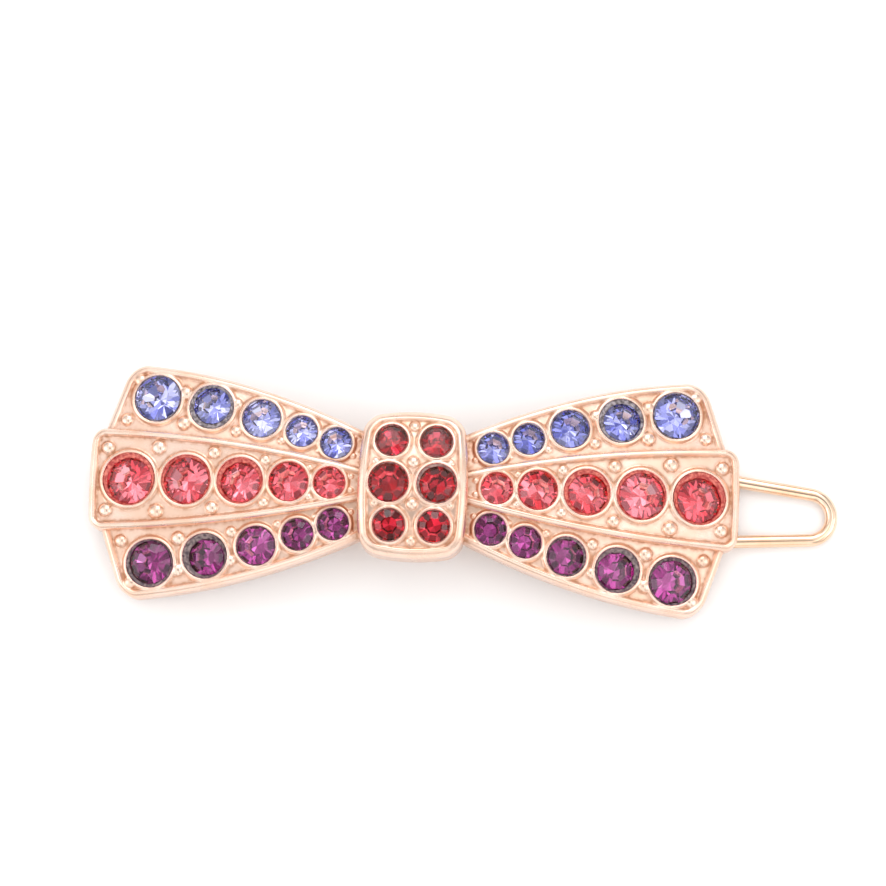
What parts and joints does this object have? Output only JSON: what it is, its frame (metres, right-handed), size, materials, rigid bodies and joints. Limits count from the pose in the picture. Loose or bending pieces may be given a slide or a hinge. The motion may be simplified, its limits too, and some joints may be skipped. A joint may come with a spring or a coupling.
{
  "type": "rhinestone hair clip",
  "caption": "Bow-shaped cast hair clip set with round rhinestones on both wings and the knot, with a hinged spring-wire loop that snaps onto a post on its back.",
  "frame": {"origin": "middle of the flat pad on the casting's back, under the knot", "axes": "+X along the bow towards the wire loop's rounded end, +Y across the bow towards the blue rows, +Z out through the stones' faces"},
  "size_m": [0.0681, 0.0212, 0.0096],
  "materials": {
    "casting": "rose-gold plated cast alloy, polished, with small cast beads",
    "findings": "rose-gold plated, polished",
    "spring_wire": "rose-gold plated drawn spring wire",
    "coral_stone": "faceted foiled glass chaton, coral",
    "blue_stone": "faceted foiled glass chaton, violet blue",
    "purple_stone": "faceted foiled glass chaton, amethyst purple",
    "red_stone": "faceted foiled glass chaton, deep red"
  },
  "bodies": {
    "bow": {"bow_casting": "casting", "catch_post": "findings", "hinge_lug": "findings", "knot_cap": "casting", "stone_knot_red_1": "red_stone", "stone_knot_red_2": "red_stone", "stone_knot_red_3": "red_stone", "stone_knot_red_4": "red_stone", "stone_knot_red_5": "red_stone", "stone_knot_red_6": "red_stone", "stone_left_blue_1": "blue_stone", "stone_left_blue_2": "blue_stone", "stone_left_blue_3": "blue_stone", "stone_left_blue_4": "blue_stone", "stone_left_blue_5": "blue_stone", "stone_left_coral_1": "coral_stone", "stone_left_coral_2": "coral_stone", "stone_left_coral_3": "coral_stone", "stone_left_coral_4": "coral_stone", "stone_left_coral_5": "coral_stone", "stone_left_purple_1": "purple_stone", "stone_left_purple_2": "purple_stone", "stone_left_purple_3": "purple_stone", "stone_left_purple_4": "purple_stone", "stone_left_purple_5": "purple_stone", "stone_right_blue_1": "blue_stone", "stone_right_blue_2": "blue_stone", "stone_right_blue_3": "blue_stone", "stone_right_blue_4": "blue_stone", "stone_right_blue_5": "blue_stone", "stone_right_coral_1": "coral_stone", "stone_right_coral_2": "coral_stone", "stone_right_coral_3": "coral_stone", "stone_right_coral_4": "coral_stone", "stone_right_coral_5": "coral_stone", "stone_right_purple_1": "purple_stone", "stone_right_purple_2": "purple_stone", "stone_right_purple_3": "purple_stone", "stone_right_purple_4": "purple_stone", "stone_right_purple_5": "purple_stone"},
    "loop": {"wire_loop": "spring_wire"}
  },
  "joints": [
    {"name": "loop_hinge", "type": "hinge", "parent": "bow", "child": "loop", "pos_m": [-0.0245, -0.0004, -0.00335], "axis": [0, 1, 0], "range_deg": [0, 75]}
  ]
}
